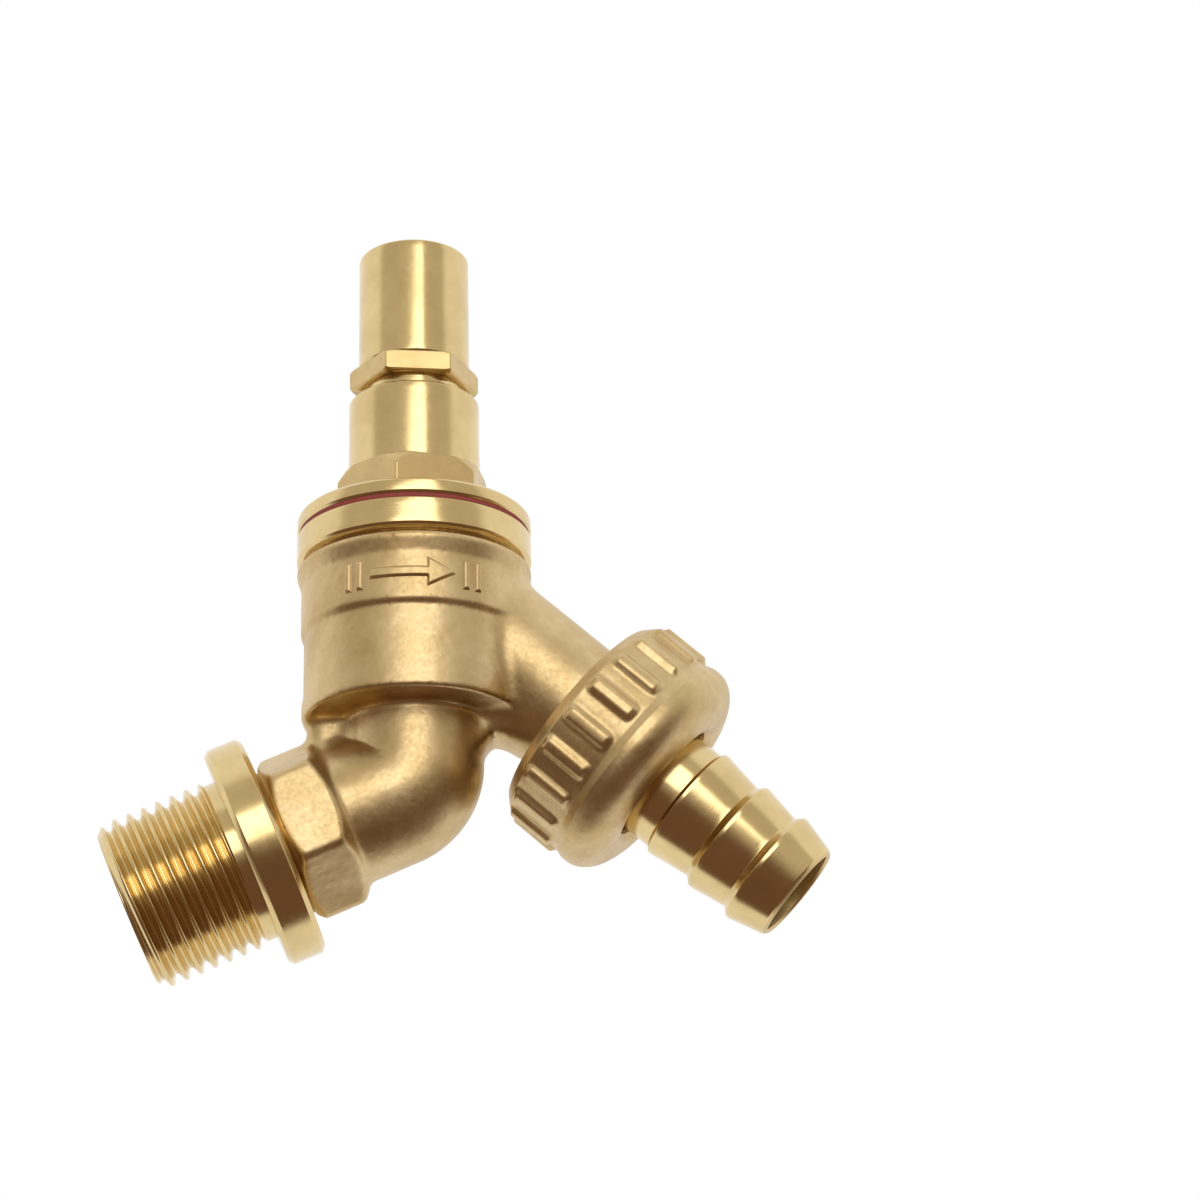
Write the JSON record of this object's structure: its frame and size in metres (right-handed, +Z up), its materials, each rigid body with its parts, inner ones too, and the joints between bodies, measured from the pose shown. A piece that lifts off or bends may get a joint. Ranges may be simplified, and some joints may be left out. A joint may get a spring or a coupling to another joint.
{
  "type": "lockshield bibcock",
  "caption": "Brass wall tap with an elbow inlet, a leaning valve chamber, a tube shield over a key-operated square spindle, and a screwed union with a barbed hose tail.",
  "frame": {"origin": "centre of the wall flange's face on the inlet axis, where the inlet thread ends", "axes": "+X along the inlet axis away from the wall, +Z up, Y across; the valve axis leans forward and the spout falls forward in the XZ plane"},
  "size_m": [0.079, 0.03, 0.1015],
  "materials": {
    "forged_brass": "hot forged and shot blasted, satin",
    "turned_brass": "turned bright",
    "spindle_brass": "turned, dull",
    "red_fibre": "pressed vulcanised fibre, matt",
    "black_rubber": "moulded, matt",
    "gland_packing": "PTFE, matt"
  },
  "bodies": {
    "tap_body": {"body": "forged_brass", "body_washer": "red_fibre", "bonnet": "turned_brass", "gland_packing": "gland_packing", "gland_washer": "spindle_brass", "lockshield": "turned_brass"},
    "valve": {"jumper": "spindle_brass", "tap_washer": "black_rubber", "washer_nut": "spindle_brass"},
    "spindle": {"spindle": "spindle_brass"},
    "tail": {"hose_tail": "turned_brass", "union_washer": "black_rubber"},
    "union_nut": {"union_nut": "forged_brass"}
  },
  "joints": [
    {"name": "valve_lift", "type": "slide", "parent": "tap_body", "child": "valve", "axis": [0.3875, 0, 0.9219], "range_m": [0, 0.005]},
    {"name": "spindle_turn", "type": "hinge", "parent": "valve", "child": "spindle", "pos_m": [0.04118, 0, 0.04609], "axis": [0.3875, 0, 0.9219], "range_deg": [0, 900]},
    {"name": "tail_release", "type": "slide", "parent": "tap_body", "child": "tail", "axis": [0.4242, 0, -0.9056], "range_m": [0, 0.00635]},
    {"name": "nut_turn", "type": "hinge", "parent": "tail", "child": "union_nut", "pos_m": [0.04711, 0, -0.0068], "axis": [0.4242, 0, -0.9056], "range_deg": [0, 1260]}
  ],
  "couplings": [
    {"joint": "spindle_turn", "follows": "valve_lift", "rad_per_m": 3141.6},
    {"joint": "nut_turn", "follows": "tail_release", "rad_per_m": 3463.7}
  ]
}
